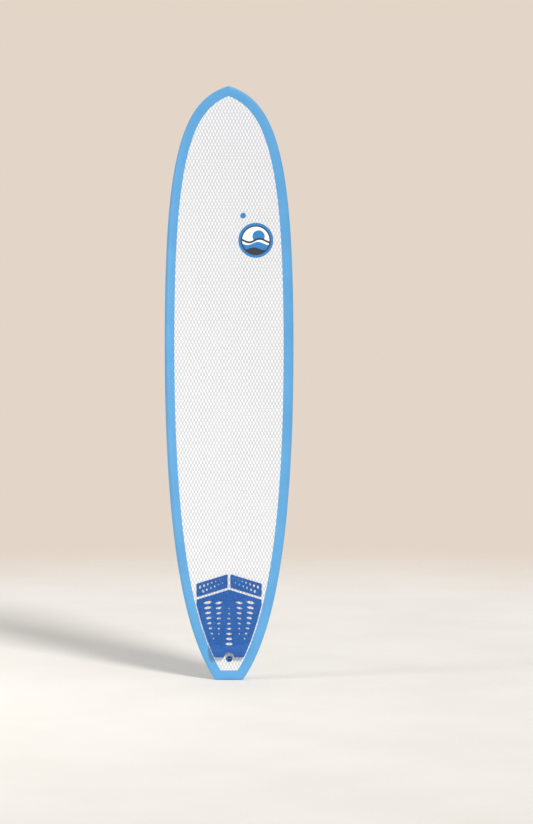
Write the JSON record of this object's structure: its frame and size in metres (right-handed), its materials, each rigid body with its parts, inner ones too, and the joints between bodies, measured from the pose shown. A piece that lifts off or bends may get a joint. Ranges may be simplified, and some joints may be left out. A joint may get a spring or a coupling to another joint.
{
  "type": "longboard surfboard",
  "caption": "Long rounded surfboard with a soft white deck, light blue rails and slick, a dark blue tail pad, a leash plug, a centre fin box and side fin plugs.",
  "frame": {"origin": "middle of the flat end of the tail", "axes": "+Z runs along the board from the tail to the nose, the deck faces -Y, the bottom faces +Y, and +X is to the right of someone facing the deck"},
  "size_m": [0.597, 0.1402, 2.743],
  "materials": {
    "foam_core": "bare expanded foam beads, matt",
    "hard_foam": "dense cast foam, matt",
    "stringer_wood": "plain sawn ply",
    "laminate": "thin translucent film, satin",
    "deck_foam": "white closed-cell foam with a pressed diamond cell pattern, matt",
    "rail_foam": "light blue closed-cell foam, smooth and matt",
    "slick": "light blue glossy sheet with a printed cell pattern",
    "edge_trim": "dark blue, satin",
    "pad_eva": "dark blue foam rubber with fine grooves, matt",
    "plug_plastic": "dark blue moulded plastic, satin",
    "leash_plastic": "blue moulded plastic, satin",
    "brass": "turned brass, satin",
    "steel": "stainless steel"
  },
  "bodies": {
    "board": {"core_left_outer": "foam_core", "core_left_inner": "foam_core", "core_right_inner": "foam_core", "core_right_outer": "foam_core", "stringer_left": "stringer_wood", "stringer_center": "stringer_wood", "stringer_right": "stringer_wood", "fin_insert": "hard_foam", "plug_insert_left": "hard_foam", "plug_insert_right": "hard_foam", "leash_insert": "hard_foam", "deck_laminate": "laminate", "bottom_laminate": "laminate", "deck_skin": "deck_foam", "rail_band": "rail_foam", "bottom_slick": "slick", "edge_trim": "edge_trim", "pad_bar_left": "pad_eva", "pad_bar_right": "pad_eva", "pad_main": "pad_eva", "fin_box": "plug_plastic", "side_plug_left": "plug_plastic", "side_plug_right": "plug_plastic", "leash_plug": "leash_plastic", "leash_pin": "steel"},
    "fin_plate": {"fin_plate": "brass"},
    "fin_screw": {"fin_screw": "steel"},
    "grub_left_front": {"grub_left_front": "steel"},
    "grub_left_rear": {"grub_left_rear": "steel"},
    "grub_right_front": {"grub_right_front": "steel"},
    "grub_right_rear": {"grub_right_rear": "steel"}
  },
  "joints": [
    {"name": "plate_slide", "type": "slide", "parent": "board", "child": "fin_plate", "axis": [0, 0.0893, 0.996], "range_m": [0, 0.231]},
    {"name": "fin_screw_turn", "type": "hinge", "parent": "fin_plate", "child": "fin_screw", "pos_m": [0, 0.01679, 0.16204], "axis": [0, 0.996, -0.0893], "continuous": true},
    {"name": "grub_left_front_turn", "type": "hinge", "parent": "board", "child": "grub_left_front", "pos_m": [-0.162, 0.05185, 0.495], "axis": [0.6428, 0.7646, -0.047], "continuous": true},
    {"name": "grub_left_rear_turn", "type": "hinge", "parent": "board", "child": "grub_left_rear", "pos_m": [-0.162, 0.04872, 0.4441], "axis": [0.6428, 0.7646, -0.047], "continuous": true},
    {"name": "grub_right_front_turn", "type": "hinge", "parent": "board", "child": "grub_right_front", "pos_m": [0.162, 0.05185, 0.495], "axis": [-0.6428, 0.7646, -0.047], "continuous": true},
    {"name": "grub_right_rear_turn", "type": "hinge", "parent": "board", "child": "grub_right_rear", "pos_m": [0.162, 0.04872, 0.4441], "axis": [-0.6428, 0.7646, -0.047], "continuous": true}
  ]
}
